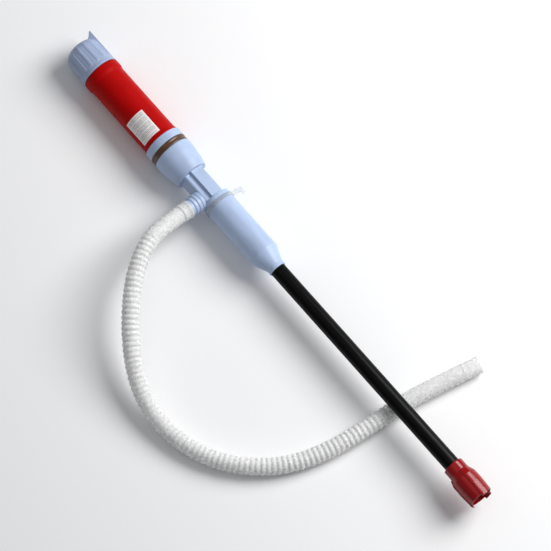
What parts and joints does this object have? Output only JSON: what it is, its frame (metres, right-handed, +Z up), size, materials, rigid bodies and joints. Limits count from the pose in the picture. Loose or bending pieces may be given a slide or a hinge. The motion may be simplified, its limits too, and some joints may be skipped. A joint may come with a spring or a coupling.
{
  "type": "battery bilge and transfer pump",
  "caption": "Hand-held battery pump: ribbed switch cap, red battery handle, motor housing with side outlet and corrugated hose, grip sleeve, suction tube and slotted strainer.",
  "frame": {"origin": "on the surface the pump lies on, under the middle of the pump without its hose", "axes": "+X along the pump from the cap to the strainer, +Z up, the outlet spout towards -Y and the hook towards +Y"},
  "size_m": [0.6571, 0.3058, 0.056],
  "materials": {
    "cap_plastic": "satin moulded",
    "pale_plastic": "satin moulded",
    "white_plastic": "moulded",
    "red_plastic": "smooth moulded",
    "strainer_plastic": "glossy moulded",
    "black_plastic": "glossy extruded",
    "clear_plastic": "clear moulded",
    "hose_vinyl": "soft translucent",
    "brown_rubber": "semi-gloss",
    "seal_rubber": "matt",
    "label_film": "printed film",
    "cell_jacket": "printed jacket",
    "nickel_plate": "nickel plated",
    "spring_steel": "plated wire",
    "contact_brass": "bright",
    "screw_steel": "zinc plated",
    "motor_steel": "plated",
    "ferrite": "matt ceramic",
    "core_steel": "laminated",
    "copper_wire": "enamelled",
    "shaft_steel": "drawn",
    "wire_jacket": "vinyl"
  },
  "bodies": {
    "pump": {"battery_handle": "red_plastic", "contact_strip": "nickel_plate", "handle_label": "label_film", "battery_upper": "cell_jacket", "battery_lower": "cell_jacket", "battery_floor": "white_plastic", "positive_contact": "contact_brass", "collar_ring": "pale_plastic", "seal_ring": "brown_rubber", "motor_housing": "pale_plastic", "shaft_seal": "seal_rubber", "seal_retainer": "contact_brass", "motor_can": "motor_steel", "motor_magnets": "ferrite", "motor_end_cap": "white_plastic", "motor_terminals": "contact_brass", "motor_brushes": "contact_brass", "motor_holder": "white_plastic", "motor_screws": "screw_steel", "lead_wires": "wire_jacket", "outlet_spout": "pale_plastic", "grip_sleeve": "pale_plastic", "suction_tube": "black_plastic", "shaft_bush_1": "white_plastic", "shaft_bush_2": "white_plastic", "shaft_bush_3": "white_plastic", "strainer": "strainer_plastic", "inlet_spider": "white_plastic", "hose_start_cuff": "hose_vinyl", "outlet_hose": "hose_vinyl", "hose_end_cuff": "hose_vinyl"},
    "plug": {"end_plug": "white_plastic", "plug_seal": "seal_rubber", "contact_plate": "nickel_plate", "battery_spring": "spring_steel", "switch_contacts": "contact_brass"},
    "knob": {"switch_cap": "cap_plastic", "pivot_screw": "screw_steel", "switch_wiper": "contact_brass"},
    "rotor": {"motor_armature": "core_steel", "motor_windings": "copper_wire", "motor_shaft": "shaft_steel", "shaft_coupling": "white_plastic", "drive_shaft": "shaft_steel", "impeller": "white_plastic"},
    "hook": {"hanging_hook": "clear_plastic"}
  },
  "joints": [
    {"name": "plug_pull", "type": "slide", "parent": "pump", "child": "plug", "axis": [-0.9999, 0, -0.0149], "range_m": [0, 0.045]},
    {"name": "knob_turn", "type": "hinge", "parent": "plug", "child": "knob", "pos_m": [-0.32322, 0.00429, 0.02093], "axis": [0.9999, 0, 0.0149], "range_deg": [0, 60]},
    {"name": "drive_spin", "type": "hinge", "parent": "pump", "child": "rotor", "pos_m": [-0.32321, 0.00584, 0.02051], "axis": [0.9999, 0, 0.0149], "continuous": true},
    {"name": "hook_turn", "type": "hinge", "parent": "pump", "child": "hook", "pos_m": [-0.09174, 0.00584, 0.02396], "axis": [0.9999, 0, 0.0149], "range_deg": [-20, 100]}
  ]
}
